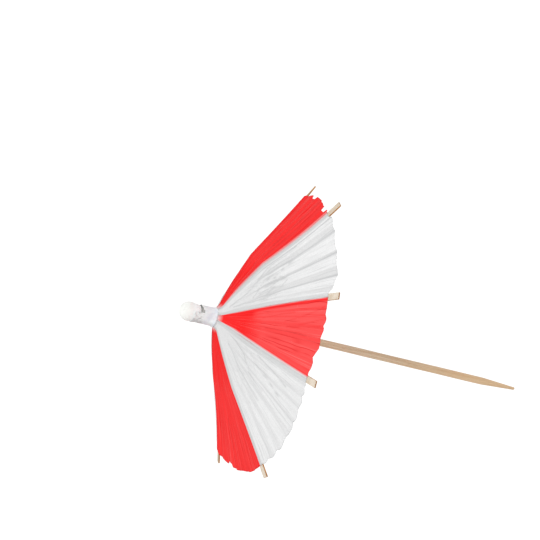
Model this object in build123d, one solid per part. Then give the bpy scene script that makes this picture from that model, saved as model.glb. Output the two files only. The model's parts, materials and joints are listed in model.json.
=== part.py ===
from build123d import *
import math
import os

# A paper cocktail umbrella on a wooden pick, standing open. Millimetres and degrees.
# +Z runs up the pick to the finial, -Y is the front, and the origin is where the pick's point begins.

# Pick
overall_length = 100.0
pick_radius = 1.0
pick_top_radius = 0.96
point_length = 10.0
point_end_radius = 0.35
pin_length = 36.0

# Finial bead
finial_radius = 2.6
finial_length = 5.6
finial_crown = 2.6
finial_seat_radius = 2.1
socket_depth = 3.2

# Neck and crown
neck_length = 4.75
neck_flare_radius = 2.85
neck_flare_length = 1.8
wrap_thickness = 0.16
core_overhang = 1.0
tab_inset = 0.6

# Ribs, whose azimuths run from the front, anticlockwise seen from above
front_azimuth = -90.0
rib_azimuths = (-14.0, 19.0, 62.0, 97.0, 165.0, 205.0, 245.0, 295.0)
canopy_radius = 42.0
canopy_depth = 18.1
hinge_drop = 0.45
rib_thickness = 0.4
rib_width = 1.9
rib_bow = 1.1
rib_taper_length = 10.0
rib_overhang = 3.5

# Struts and runner
strut_reach = 15.0
strut_thickness = 0.35
strut_width = 1.4
strut_taper_length = 6.0
foot_length = 3.2
runner_wall = 0.3
runner_above = 3.0
runner_below = 4.5
strut_tab_thickness = 0.2
strut_tab_length = 3.6
band_thickness = 0.13
band_margin = 0.25
spacer_wall = 0.45
retainer_wall = 0.55
retainer_length = 2.0

# Canopy paper
paper_thickness = 0.2
pleats_per_half = 4
pleat_depth = 0.35
panel_start = 0.7
panel_spans = 6
rim_allowance = 7.0

# Clearances
running_clearance = 0.05
glue_gap = 0.03
panel_glue_gap = 0.06
score_gap = 0.06
fold_gap = 0.08
side_clearance = 0.1
half_panel_gap = 0.12
stop_gap = 0.04

# The narrowest gore limits how wide the strips may be where they gather round the pick
rib_count = len(rib_azimuths)
gore_angles = [(rib_azimuths[(i + 1) % rib_count] - rib_azimuths[i]) % 360 for i in range(rib_count)]
narrowest_half = math.radians(min(gore_angles) / 2)


def gathered_width(radius):
    """Widest flat strip that clears its neighbours where their inner faces lie at a radius."""
    return 2 * radius * math.tan(narrowest_half) - side_clearance


# The runner's layers set the radius of the scored folds, and the folds set the crown's core
runner_bore = pick_radius + running_clearance
runner_radius = runner_bore + runner_wall
strut_tab_radius = runner_radius + glue_gap
strut_tab_width = gathered_width(strut_tab_radius)
band_bore = math.hypot(strut_tab_radius + strut_tab_thickness, strut_tab_width / 2) + glue_gap
band_radius = band_bore + band_thickness
hinge_radius = band_radius + fold_gap + strut_thickness / 2
root_width = gathered_width(hinge_radius - max(rib_thickness, strut_thickness) / 2)
core_radius = hinge_radius - rib_thickness / 2 - fold_gap
wrap_bore = math.hypot(hinge_radius + rib_thickness / 2, root_width / 2) + glue_gap
fixed_bore = pick_radius + glue_gap

# Heights along the pick
tip_z = -point_length
finial_top_z = overall_length - point_length
finial_base_z = finial_top_z - finial_length
pick_top_z = finial_base_z + socket_depth
neck_base_z = finial_base_z - neck_length
hinge_z = neck_base_z - hinge_drop
core_base_z = hinge_z - core_overhang

# A rib's chord runs from its fold to its tip, in an upright plane through the pick
rib_run = canopy_radius - hinge_radius
rib_length = math.hypot(rib_run, canopy_depth)
rib_angle = math.atan2(rib_run, canopy_depth)
chord = Vector(math.sin(rib_angle), 0, -math.cos(rib_angle))
chord_normal = Vector(math.cos(rib_angle), 0, math.sin(rib_angle))
sideways = Vector(0, -1, 0)
hinge_point = Vector(hinge_radius, 0, hinge_z)
rib_side = Plane(origin=hinge_point, x_dir=chord, z_dir=sideways)
rib_plan = Plane(origin=hinge_point, x_dir=chord, z_dir=chord_normal)


def bow_tilt(along):
    """Angle of a rib's middle line against its chord."""
    return math.atan(4 * rib_bow * (1 - 2 * along / rib_length) / rib_length)


def rib_offset(along, up):
    """Point in a rib's side plane, at a height above the rib's bowed middle line."""
    share = along / rib_length
    tilt = bow_tilt(along)
    return Vector(along - up * math.sin(tilt), 4 * rib_bow * share * (1 - share) + up * math.cos(tilt))


# The strut's outer fold lies under the rib, and its inner fold hangs straight below the rib's fold
strut_fold = rib_offset(strut_reach, -(rib_thickness / 2 + score_gap + strut_thickness / 2))
strut_length = math.hypot(strut_fold.X, strut_fold.Y)
strut_angle = rib_angle + math.atan2(strut_fold.Y, strut_fold.X)
runner_fold_z = hinge_z - 2 * strut_length * math.cos(strut_angle)
runner_top_z = runner_fold_z + runner_above
runner_base_z = runner_fold_z - runner_below


def at_rib(shape, index):
    """Turn a shape that was made on the +X side round the pick to a rib's place."""
    return Rot(0, 0, front_azimuth + rib_azimuths[index]) * shape


def tube(outer, inner, base_z, top_z):
    """Round sleeve on the pick's axis."""
    return extrude(Pos(0, 0, base_z) * (Circle(outer) - Circle(inner)), amount=top_z - base_z)


def turned(*edges):
    """Solid turned about the pick's axis from edges drawn as radius and height."""
    return revolve(Plane.XZ * make_face(Curve() + list(edges)), axis=Axis.Z)


def strip_plan(root, full, taper, length):
    """Plan of a strip that is narrow at its root and full width past its taper."""
    half = [(-full, root / 2), (0, root / 2), (taper, full / 2), (length + full, full / 2)]
    other_half = [(x, -y) for x, y in reversed(half)]
    return make_face(Polyline(*half, *other_half, close=True))


def make_pick():
    return turned(
        Polyline(
            (0, tip_z),
            (point_end_radius, tip_z),
            (pick_radius, 0),
            (pick_radius, pin_length),
            (pick_top_radius, pick_top_z),
            (0, pick_top_z),
            close=True,
        )
    )


def make_finial():
    widest = (finial_radius, finial_top_z - finial_crown)
    seat = (finial_seat_radius, finial_base_z)
    socket_radius = fixed_bore
    socket_top_z = pick_top_z + glue_gap
    return turned(
        TangentArc(widest, (0, finial_top_z), tangent=(0, 1)),
        Polyline(
            (0, finial_top_z),
            (0, socket_top_z),
            (socket_radius, socket_top_z),
            (socket_radius, finial_base_z),
            seat,
        ),
        TangentArc(widest, seat, tangent=(0, -1)),
    )


def make_neck_wrap():
    flare_top_z = neck_base_z + neck_flare_length
    outer_top = (wrap_bore + wrap_thickness, finial_base_z)
    outer_bend = (wrap_bore + wrap_thickness, flare_top_z)
    outer_base = (neck_flare_radius + wrap_thickness, neck_base_z)
    inner_base = (neck_flare_radius, neck_base_z)
    inner_bend = (wrap_bore, flare_top_z)
    inner_top = (wrap_bore, finial_base_z)
    return turned(
        Line(outer_top, outer_bend),
        TangentArc(outer_bend, outer_base, tangent=(0, -1)),
        Line(outer_base, inner_base),
        TangentArc(inner_bend, inner_base, tangent=(0, -1)),
        Polyline(inner_bend, inner_top, outer_top),
    )


def make_rib_tab():
    tab_base_z = hinge_z + rib_thickness / 2 + score_gap
    tab_top_z = finial_base_z - tab_inset
    tab = Box(rib_thickness, root_width, tab_top_z - tab_base_z)
    return Pos(hinge_radius, 0, (tab_base_z + tab_top_z) / 2) * tab


def make_rib():
    half = rib_thickness / 2
    top = [rib_offset(rib_length * share, half) for share in (0, 0.5, 1)]
    bottom = [rib_offset(rib_length * share, -half) for share in (0, 0.5, 1)]
    tilt = bow_tilt(0)
    fold_back = (-half * math.cos(tilt), -half * math.sin(tilt))
    side = make_face(
        Curve()
        + [
            ThreePointArc(*top),
            Line(top[2], bottom[2]),
            ThreePointArc(*bottom),
            ThreePointArc(bottom[0], fold_back, top[0]),
        ]
    )
    plan = strip_plan(root_width, rib_width, rib_taper_length, rib_length)
    strip = extrude(rib_side * side, amount=rib_width, both=True)
    return strip & extrude(rib_plan * plan, amount=2 * rib_bow + rib_thickness, both=True)


def make_strut():
    outer = rib_side.from_local_coords(strut_fold)
    inner = Vector(hinge_radius, 0, runner_fold_z)
    along = (outer - inner).normalized()
    strut_side = Plane(origin=inner, x_dir=along, z_dir=sideways)
    strut_top = Plane(origin=inner, x_dir=along, z_dir=sideways.cross(along))
    side = Pos(strut_length / 2, 0) * SlotCenterToCenter(strut_length, strut_thickness)
    plan = strip_plan(root_width, strut_width, strut_taper_length, strut_length)
    strip = extrude(strut_side * side, amount=strut_width, both=True)
    return strip & extrude(strut_top * plan, amount=strut_thickness, both=True)


def make_strut_foot():
    fold_angle = math.pi - 2 * strut_angle
    half = strut_thickness / 2
    start = (half * (1 + math.cos(fold_angle)) + fold_gap) / math.sin(fold_angle)
    middle = strut_reach - start - foot_length / 2
    place = rib_offset(middle, -(rib_thickness / 2 + glue_gap + half))
    foot = Box(foot_length, strut_thickness, strut_width)
    return rib_side * Pos(place.X, place.Y) * Rot(0, 0, math.degrees(bow_tilt(middle))) * foot


def make_strut_tab():
    tab = Box(strut_tab_thickness, strut_tab_width, strut_tab_length)
    return Pos(strut_tab_radius + strut_tab_thickness / 2, 0, runner_fold_z - strut_tab_length / 2) * tab


def panel_section(along, gore_half, side):
    """Level slice of a half panel, from the rib's middle line to the middle of the gore."""
    seat = rib_side.from_local_coords(rib_offset(along, rib_thickness / 2 + panel_glue_gap))
    level = 1 / math.cos(rib_angle + bow_tilt(along))
    fold_depth = level * pleat_depth * along / rib_length
    rib_half = (root_width + (rib_width - root_width) * min(along / rib_taper_length, 1)) / 2
    rib_middle = Vector(seat.X, 0)
    rib_edge = Vector(seat.X, rib_half + side_clearance / 2)
    edge_angle = math.atan2(rib_edge.Y, rib_edge.X)
    outwards = Vector(math.cos(gore_half), math.sin(gore_half))
    across = Vector(-outwards.Y, outwards.X)
    middle_radius = rib_edge.length * math.cos(gore_half - edge_angle)
    gore_middle = outwards * middle_radius - across * (half_panel_gap / 2)
    under = [rib_middle, rib_edge]
    for fold in range(1, pleats_per_half + 1):
        flat = rib_edge + (gore_middle - rib_edge) * (fold / pleats_per_half)
        under.append(flat + flat.normalized() * (fold_depth * (-1) ** fold))
    over = [point + point.normalized() * (paper_thickness * level) for point in reversed(under)]
    outline = [(point.X, side * point.Y) for point in under + over]
    return Pos(0, 0, seat.Z) * make_face(Polyline(*outline, close=True))


def make_half_panel(gore_angle, side):
    """Pleated half of a gore, cut to a round rim about the crown."""
    gore_half = math.radians(gore_angle / 2)
    paper_end = rib_length - rib_overhang
    span = (paper_end + rim_allowance - panel_start) / panel_spans
    slices = [panel_section(panel_start + span * i, gore_half, side) for i in range(panel_spans + 1)]
    rim = rib_side.from_local_coords(rib_offset(paper_end, rib_thickness / 2 + panel_glue_gap))
    crown = Vector(0, 0, hinge_z)
    return loft(slices, ruled=True) & Pos(crown) * Sphere((rim - crown).length)


def save(name, shape):
    export_step(shape, os.path.join("parts", name + ".step"))


def save_round(name, shape):
    """Save one copy of a shape for each rib, all in one node."""
    save(name, Compound(children=[at_rib(shape, i).solid() for i in range(rib_count)]))


os.makedirs("parts", exist_ok=True)

save("pick", make_pick())
save("finial_bead", make_finial())
save("crown_core", tube(core_radius, fixed_bore, core_base_z, finial_base_z))
save_round("rib_tabs", make_rib_tab())
save("neck_wrap", make_neck_wrap())
save("spacer_sleeve", tube(fixed_bore + spacer_wall, fixed_bore, runner_top_z + stop_gap, core_base_z))

save("runner_sleeve", tube(runner_radius, runner_bore, runner_base_z, runner_top_z))
save_round("strut_tabs", make_strut_tab())
band_top_z = runner_fold_z - band_margin
band_base_z = runner_fold_z - strut_tab_length + band_margin
save("runner_band", tube(band_radius, band_bore, band_base_z, band_top_z))
retainer_top_z = runner_base_z - stop_gap
retainer_base_z = retainer_top_z - retainer_length
save("retainer_ring", tube(runner_bore + retainer_wall, runner_bore, retainer_base_z, retainer_top_z))

rib = make_rib()
strut = make_strut()
strut_foot = make_strut_foot()
for i in range(rib_count):
    number = str(i + 1)
    save("rib_" + number, at_rib(rib, i))
    save("strut_" + number, at_rib(strut, i))
    save("strut_foot_" + number, at_rib(strut_foot, i))
    # Seen from outside, a gore's left half is glued to the rib on its left, its right half to the next rib
    save("panel_" + number + "_left", at_rib(make_half_panel(gore_angles[i], 1), i))
    save("panel_" + number + "_right", at_rib(make_half_panel(gore_angles[i], -1), (i + 1) % rib_count))
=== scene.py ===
import json
import math
import random

import bmesh
import bpy
import numpy as np
from mathutils import Matrix, Vector, noise


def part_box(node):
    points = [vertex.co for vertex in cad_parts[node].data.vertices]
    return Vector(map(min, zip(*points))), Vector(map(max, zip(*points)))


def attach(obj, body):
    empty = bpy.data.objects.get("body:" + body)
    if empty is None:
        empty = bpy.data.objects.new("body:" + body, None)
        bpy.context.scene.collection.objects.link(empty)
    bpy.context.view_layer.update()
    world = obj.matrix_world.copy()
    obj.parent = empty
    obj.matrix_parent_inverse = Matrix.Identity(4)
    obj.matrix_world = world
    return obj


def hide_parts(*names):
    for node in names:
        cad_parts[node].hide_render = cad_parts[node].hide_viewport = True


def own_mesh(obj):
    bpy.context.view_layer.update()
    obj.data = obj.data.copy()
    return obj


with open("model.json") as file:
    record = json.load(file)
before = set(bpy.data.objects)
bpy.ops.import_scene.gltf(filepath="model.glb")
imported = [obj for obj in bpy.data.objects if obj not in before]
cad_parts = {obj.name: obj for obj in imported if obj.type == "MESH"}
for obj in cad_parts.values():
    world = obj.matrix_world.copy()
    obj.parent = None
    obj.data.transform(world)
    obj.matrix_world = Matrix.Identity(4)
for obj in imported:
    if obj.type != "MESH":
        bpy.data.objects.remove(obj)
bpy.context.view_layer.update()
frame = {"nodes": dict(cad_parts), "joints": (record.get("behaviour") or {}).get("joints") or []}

# Pick: a round stick of pale birch, cut to a blunt point at its lower end. The bead is glued on its
# upper end, and every other piece of the umbrella sits round it.
mm = 0.001
pick_low, pick_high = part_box("pick")
pick_radius = 1.0 * mm
pick_top_radius = 0.96 * mm
point_end_radius = 0.36 * mm
pin_top = 36.0 * mm
pick_rows, pick_sectors = 260, 28
stick_wobble = 0.035 * mm


def screen(red, green, blue):
    """Linear colour of an 8-bit screen colour."""
    shares = (red / 255, green / 255, blue / 255)
    return tuple(s / 12.92 if s <= 0.04045 else ((s + 0.055) / 1.055) ** 2.4 for s in shares) + (1.0,)


def add_node(tree, kind, sockets=(), **settings):
    """New node with its settings made and its sockets set, or linked where a socket or a node is given."""
    made = tree.nodes.new(kind)
    for key, value in settings.items():
        setattr(made, key, value)
    for key, value in dict(sockets).items():
        value = value.outputs[0] if isinstance(value, bpy.types.Node) else value
        if isinstance(value, bpy.types.NodeSocket):
            tree.links.new(value, made.inputs[key])
        else:
            made.inputs[key].default_value = value
    return made


def calc(operation, *values):
    """Output of a math node on numbers and sockets, in the sockets' own tree."""
    tree = next(value.id_data for value in values if isinstance(value, bpy.types.NodeSocket))
    return add_node(tree, "ShaderNodeMath", dict(enumerate(values)), operation=operation).outputs[0]


def times(first, *others):
    """Product of numbers and sockets."""
    for other in others:
        first = calc("MULTIPLY", first, other)
    return first


def rest(share):
    """What a share leaves of 1."""
    return calc("SUBTRACT", 1.0, share)


def blend(share, first, second):
    """Colour output of a mix of two colours by a share."""
    sockets = {0: share, 6: first, 7: second}
    return add_node(share.id_data, "ShaderNodeMix", sockets, data_type="RGBA").outputs[2]


def ease(value, low, high):
    """Smooth step of a value from 0 at low to 1 at high."""
    sockets = {"Value": value, "From Min": low, "From Max": high}
    settings = {"interpolation_type": "SMOOTHSTEP"}
    return add_node(value.id_data, "ShaderNodeMapRange", sockets, **settings).outputs[0]


def tint(colour, share, amount, shade):
    """Colour with a shade laid over it, by an amount where the share is 1."""
    return blend(times(share, amount), colour, shade)


def cloud(place, scale, detail):
    """Value of a noise at a place."""
    sockets = {"Vector": place, "Scale": scale, "Detail": detail}
    return add_node(place.id_data, "ShaderNodeTexNoise", sockets).outputs[0]


def stretched(place, *scale):
    """A place scaled by an amount for each axis."""
    return add_node(place.id_data, "ShaderNodeMapping", {"Vector": place, "Scale": scale}).outputs[0]


def own_place(tree):
    """Place of a shaded point in its piece's own frame."""
    return add_node(tree, "ShaderNodeTexCoord").outputs["Object"]


def split(vector):
    """The three outputs of a vector."""
    return add_node(vector.id_data, "ShaderNodeSeparateXYZ", {0: vector}).outputs


def new_material(name, roughness, specular):
    """Material with its node tree and its shader."""
    made = bpy.data.materials.new(name)
    made.use_nodes = True
    shader = made.node_tree.nodes["Principled BSDF"]
    shader.inputs["Roughness"].default_value = roughness
    shader.inputs["Specular IOR Level"].default_value = specular
    return made, made.node_tree, shader


def set_surface(shader, colour, height, strength, depth):
    """Give a shader its colour, and the bump of a height."""
    tree = shader.id_data
    sockets = {"Height": height, "Strength": strength, "Distance": depth}
    bump = add_node(tree, "ShaderNodeBump", sockets)
    tree.links.new(colour, shader.inputs["Base Color"])
    tree.links.new(bump.outputs[0], shader.inputs["Normal"])


def add_piece(mesh, material, body, slot, *nodes, smooth=True):
    """Piece in the shared frame for a finished mesh, on its body and in place of its nodes."""
    made = bpy.data.objects.new(mesh.name, mesh)
    bpy.context.scene.collection.objects.link(made)
    if not mesh.materials:
        mesh.materials.append(material)
    mesh.polygons.foreach_set("use_smooth", [smooth] * len(mesh.polygons))
    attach(made, body)
    if nodes:
        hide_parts(*nodes)
    return made


def around(radius, angle, height):
    """Point at an azimuth round the pick's axis."""
    return Vector((radius * math.cos(angle), radius * math.sin(angle), height))


def close_mesh(solid, made):
    """Turn a solid's faces outward and put it in a mesh."""
    bmesh.ops.recalc_face_normals(solid, faces=solid.faces)
    solid.to_mesh(made)
    solid.free()


def turned(name, profile, sectors, ring, place):
    """Mesh of rows turned about the pick's axis. place gives a point for a row of the profile and an azimuth.
    A ring's last row joins its first; any other shape is closed by a point at each end."""
    mesh = bmesh.new()
    angles = [2 * math.pi * k / sectors for k in range(sectors)]
    rows = [[mesh.verts.new(place(row, angle)) for angle in angles] for row in profile]
    pairs = list(zip(rows, rows[1:] + rows[:1])) if ring else list(zip(rows, rows[1:]))
    for low, high in pairs:
        for k in range(sectors):
            mesh.faces.new((low[k], low[k - 1], high[k - 1], high[k]))
    if not ring:
        for row in (rows[0], rows[-1]):
            pole = mesh.verts.new(sum((v.co for v in row), Vector()) / sectors)
            for k in range(sectors):
                mesh.faces.new((row[k - 1], row[k], pole))
    made = bpy.data.meshes.new(name)
    close_mesh(mesh, made)
    return made


def pick_point(row, angle):
    radius, height = row
    bend, fibre = around(1.3, angle, height / (9 * mm)), around(9, angle, height / (14 * mm))
    wobble = stick_wobble * (noise.noise(bend) + 0.5 * noise.noise(fibre))
    reach = max(radius + wobble * min(1, radius / pick_radius), 0.02 * mm)
    return around(reach, angle, height)


pick_profile = []
corner_heights = (pick_low.z, 0, pin_top, pick_high.z)
corner_radii = (point_end_radius, pick_radius, pick_radius, pick_top_radius)
for k in range(pick_rows + 1):
    height = pick_low.z + (pick_high.z - pick_low.z) * (k / pick_rows) ** 1.15
    radius = float(np.interp(height, corner_heights, corner_radii))
    blunt = min(1, (height - pick_low.z) / (0.25 * mm))
    pick_profile.append((radius * (0.55 + 0.45 * math.sqrt(blunt * (2 - blunt))), height))

wood, tree, shader = new_material("birch stick", 0.62, 0.3)
place = own_place(tree)
streaks = cloud(stretched(place, 2600, 2600, 70), 1.0, 4.0)
pores = cloud(stretched(place, 5200, 5200, 420), 1.0, 2.0)
patches = cloud(place, 120.0, 2.0)
pore = ease(pores, 0.58, 0.72)
tan = blend(ease(streaks, 0.38, 0.66), screen(230, 207, 177), screen(213, 182, 146))
tan = tint(tan, ease(patches, 0.4, 0.7), 0.5, screen(220, 199, 169))
tan = tint(tan, pore, 0.45, screen(180, 144, 106))
low_end = ease(times(split(place)["Z"], -1.0), -pin_top, 4.0 * mm)
tan = tint(tan, low_end, 0.5, screen(222, 182, 132))
set_surface(shader, tan, calc("SUBTRACT", streaks, pore), 0.5, 0.05 * mm)
stick = turned("pick_stick", pick_profile, pick_sectors, False, pick_point)
add_piece(stick, wood, "root", "pick_wood", "pick")

# Crown core and spacer: strips of grey paper rolled round the pick and glued. The ribs are glued to the
# core, and the spacer below it stops the runner when the canopy is open.
paper_layer = 0.1 * mm
layer_gap = 0.012 * mm
points_per_turn = 56


def open_tree(name, numbers, counts):
    """Node tree of a shape, and the outputs that hold its named sizes."""
    tree = bpy.data.node_groups.new(name, "GeometryNodeTree")
    kinds = [("Float", label) for label in numbers] + [("Int", label) for label in counts]
    for kind, label in kinds + [("Material", "Material")]:
        tree.interface.new_socket(label, in_out="INPUT", socket_type="NodeSocket" + kind)
    tree.interface.new_socket("Geometry", in_out="OUTPUT", socket_type="NodeSocketGeometry")
    return tree, add_node(tree, "NodeGroupInput").outputs


def close_tree(tree, geometry, given):
    """End of a shape's node tree: real geometry in its material."""
    real = add_node(tree, "GeometryNodeRealizeInstances", {"Geometry": geometry})
    dressed = {"Geometry": real, "Material": given["Material"]}
    finished = add_node(tree, "GeometryNodeSetMaterial", dressed)
    add_node(tree, "NodeGroupOutput", {"Geometry": finished})


roll_sizes = ("Bore", "Turns", "Layer", "Gap", "Base", "Height")
roll_tree, given = open_tree("rolled paper", roll_sizes, ("Points",))
pitch = calc("ADD", given["Layer"], given["Gap"])
start = calc("ADD", given["Bore"], times(given["Layer"], 0.5))
end = calc("ADD", start, times(pitch, given["Turns"]))
spiral_sizes = {"Resolution": given["Points"], "Rotations": given["Turns"], "Start Radius": start}
spiral_sizes.update({"End Radius": end, "Height": 0.0})
spiral = add_node(roll_tree, "GeometryNodeCurveSpiral", spiral_sizes)
upright = add_node(roll_tree, "GeometryNodeSetCurveNormal", {"Curve": spiral}, mode="Z_UP")
section = {"Width": given["Layer"], "Height": given["Height"]}
slip = add_node(roll_tree, "GeometryNodeCurvePrimitiveQuadrilateral", section)
sweep = {"Curve": upright, "Profile Curve": slip, "Fill Caps": True}
rolled = add_node(roll_tree, "GeometryNodeCurveToMesh", sweep)
middle = calc("ADD", given["Base"], times(given["Height"], 0.5))
raised = add_node(roll_tree, "ShaderNodeCombineXYZ", {"Z": middle})
moved = {"Geometry": rolled, "Translation": raised}
close_tree(roll_tree, add_node(roll_tree, "GeometryNodeTransform", moved), given)


def grown(name, tree, sizes):
    """Plain mesh that a node tree makes from named sizes."""
    carrier = bpy.data.objects.new(name + "_carrier", bpy.data.meshes.new(name + "_carrier"))
    bpy.context.scene.collection.objects.link(carrier)
    modifier = carrier.modifiers.new("shape", "NODES")
    modifier.node_group = tree
    for item in tree.interface.items_tree:
        if item.in_out == "INPUT":
            modifier[item.identifier] = sizes[item.name]
    shaped = carrier.evaluated_get(bpy.context.evaluated_depsgraph_get())
    made = bpy.data.meshes.new_from_object(shaped)
    made.name = name
    bpy.data.objects.remove(carrier)
    solid = bmesh.new()
    solid.from_mesh(made)
    bmesh.ops.remove_doubles(solid, verts=solid.verts, dist=1e-7)
    close_mesh(solid, made)
    return made


fibre_group = bpy.data.node_groups.new("paper fibre", "ShaderNodeTree")
fibre_group.interface.new_socket("Coordinates", in_out="INPUT", socket_type="NodeSocketVector")
fibre_group.interface.new_socket("Fibres per unit", in_out="INPUT", socket_type="NodeSocketFloat")
for label in ("Mottle", "Fleck", "Height"):
    fibre_group.interface.new_socket(label, in_out="OUTPUT", socket_type="NodeSocketFloat")
given = add_node(fibre_group, "NodeGroupInput").outputs
place, per_unit = given["Coordinates"], given["Fibres per unit"]
fine = {"Vector": place, "Scale": per_unit, "Detail": 4.0, "Distortion": 0.6}
clouds = cloud(place, times(per_unit, 0.12), 3.0)
specks = cloud(place, times(per_unit, 0.55), 2.0)
out = {"Mottle": ease(clouds, 0.3, 0.7), "Fleck": ease(specks, 0.70, 0.78)}
out["Height"] = add_node(fibre_group, "ShaderNodeTexNoise", fine).outputs[0]
add_node(fibre_group, "NodeGroupOutput", out)


def paper_fibre(place, per_unit):
    """Outputs of the paper fibre group at a place."""
    sockets = {"Coordinates": place, "Fibres per unit": per_unit}
    return add_node(place.id_data, "ShaderNodeGroup", sockets, node_tree=fibre_group).outputs


rolled_paper, tree, shader = new_material("rolled grey paper", 0.9, 0.15)
fibre = paper_fibre(own_place(tree), 5000.0)
grey = blend(fibre["Mottle"], screen(174, 173, 170), screen(157, 156, 153))
grey = tint(grey, fibre["Fleck"], 0.5, screen(150, 138, 120))
set_surface(shader, grey, fibre["Height"], 0.5, 0.03 * mm)


def add_roll(name, body, slot, node, bore, wall, material):
    """Rolled sleeve in place of a plain one."""
    low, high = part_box(node)
    turns = (wall - paper_layer) / (paper_layer + layer_gap)
    sizes = {"Bore": bore, "Turns": turns, "Layer": paper_layer, "Gap": layer_gap, "Base": low.z}
    sizes.update({"Height": high.z - low.z, "Points": points_per_turn, "Material": material})
    add_piece(grown(name, roll_tree, sizes), material, body, slot, node)


fixed_bore = 1.03 * mm
core_wall, spacer_wall = 0.72 * mm, 0.45 * mm
add_roll("crown_core_roll", "root", "rolled_paper", "crown_core", fixed_bore, core_wall, rolled_paper)
add_roll("spacer_roll", "root", "rolled_paper", "spacer_sleeve", fixed_bore, spacer_wall, rolled_paper)

# Ribs: strips of duplex board, cream on its faces and brown where it is cut. Each is scored at its root,
# its tab beyond the score is glued to the crown core, and its end stands out past the paper.
hinge_radius = 2.035 * mm
hinge_z = 79.2 * mm
canopy_radius = 42.0 * mm
canopy_depth = 18.1 * mm
rib_length = math.hypot(canopy_radius - hinge_radius, canopy_depth)
rib_angle = math.atan2(canopy_radius - hinge_radius, canopy_depth)
rib_thickness = 0.4 * mm
rib_width = 1.9 * mm
rib_root_width = 0.987 * mm
rib_taper = 10.0 * mm
rib_bow = 1.1 * mm
rib_waver, rib_skew = 0.12 * mm, 0.35 * mm
fold_room = 0.1 * mm
# past the strut feet each rib has its own bend: how far its end drops, its middle dips, its end is longer
# than the others and its end is twisted
bend_start = 18.0 * mm
bend_power = 1.6
rib_drops = [drop * mm for drop in (-1.1, 0, 1.0, 2.2, 2.0, 0, -1.9, 0)]
rib_dips = [dip * mm for dip in (0, 0, 1.1, 0.9, 0, 0, 0.5, 0.45)]
twist_length = 6.0 * mm
rib_extras = [extra * mm for extra in (0, 0, 0.9, 0, 0, 0, 0, 0)]
rib_twists = [math.radians(twist) for twist in (0, 0, 0, 13, 0, 0, 0, 0)]
rib_folds = [j for j in frame["joints"] if j["name"].startswith("rib_fold_")]
strut_folds = [j for j in frame["joints"] if j["name"].startswith("strut_fold_")]
rib_count = len(rib_folds)
rib_azimuths = [math.atan2(j["pos_m"][1], j["pos_m"][0]) for j in rib_folds]

strip_sizes = ("Start", "Length", "Root width", "Width", "Taper", "Thickness", "Bow", "Skew", "Waver", "Seed")
strip_sizes += ("Extra", "Bend start", "Bend power", "Tip drop", "Dip", "Twist length", "Twist")
strip_tree, given = open_tree("board strip", strip_sizes, ("Steps along", "Steps across"))
counts = {"Vertices X": given["Steps along"], "Vertices Y": given["Steps across"], "Vertices Z": 3}
block = add_node(strip_tree, "GeometryNodeMeshCube", counts)
facing = split(add_node(strip_tree, "GeometryNodeInputNormal").outputs[0])
is_cut = calc("LESS_THAN", calc("ABSOLUTE", facing["Z"]), 0.5)
mark = {"Geometry": block, "Name": "cut_edge", "Value": is_cut}
marked = add_node(strip_tree, "GeometryNodeStoreNamedAttribute", mark, data_type="FLOAT", domain="FACE")
spot = split(add_node(strip_tree, "GeometryNodeInputPosition").outputs[0])
whole = calc("ADD", given["Length"], given["Extra"])
run = times(calc("ADD", spot["X"], 0.5), whole)
share = calc("DIVIDE", run, given["Length"])
widened = calc("MINIMUM", calc("DIVIDE", run, given["Taper"]), 1.0)
spread = calc("SUBTRACT", given["Width"], given["Root width"])
width = calc("MULTIPLY_ADD", spread, widened, given["Root width"])
wave_place = {"X": run, "Y": spot["Y"], "Z": given["Seed"]}
wave = cloud(add_node(strip_tree, "ShaderNodeCombineXYZ", wave_place).outputs[0], 420.0, 2.0)
waver = times(calc("SUBTRACT", wave, 0.5), given["Waver"])
across = calc("MULTIPLY_ADD", spot["Y"], width, waver)
bowed = times(share, rest(share), 4.0, given["Bow"])
lift = calc("MULTIPLY_ADD", spot["Z"], given["Thickness"], bowed)
past = calc("SUBTRACT", run, given["Bend start"])
past = calc("DIVIDE", past, calc("SUBTRACT", given["Length"], given["Bend start"]))
past = calc("MAXIMUM", past, 0.0)
bend = calc("POWER", past, given["Bend power"])
lift = calc("SUBTRACT", lift, times(bend, given["Tip drop"]))
lift = calc("SUBTRACT", lift, times(past, 4.0, given["Dip"], rest(past)))
short = calc("DIVIDE", calc("SUBTRACT", whole, run), given["Twist length"])
end_share = calc("MAXIMUM", rest(short), 0.0)
turn = calc("TANGENT", times(end_share, given["Twist"]))
lift = calc("SUBTRACT", lift, times(across, turn))
slant = times(spot["Y"], given["Skew"], share)
reach = calc("ADD", calc("ADD", run, slant), given["Start"])
shaped = add_node(strip_tree, "ShaderNodeCombineXYZ", {"X": reach, "Y": across, "Z": lift})
moved = {"Geometry": marked, "Position": shaped}
close_tree(strip_tree, add_node(strip_tree, "GeometryNodeSetPosition", moved), given)


def board(name, face_colour, face_shade, cut_colour, cut_shade):
    """Board with pale fibrous faces and darker cut edges."""
    made, tree, shader = new_material(name, 0.85, 0.2)
    fibre = paper_fibre(own_place(tree), 4200.0)
    cut = add_node(tree, "ShaderNodeAttribute", attribute_name="cut_edge").outputs["Fac"]
    face = blend(fibre["Mottle"], face_colour, face_shade)
    face = tint(face, fibre["Fleck"], 0.6, cut_shade)
    edge = blend(fibre["Mottle"], cut_colour, cut_shade)
    set_surface(shader, blend(cut, face, edge), fibre["Height"], 0.6, 0.04 * mm)
    return made


rib_board = board(
    "duplex board", screen(229, 216, 199), screen(213, 196, 174), screen(199, 148, 92), screen(166, 112, 62)
)


def coat(node, material):
    """Give a kept solid its material."""
    slots = frame["nodes"][node].data.materials
    slots.clear()
    slots.append(material)


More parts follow.
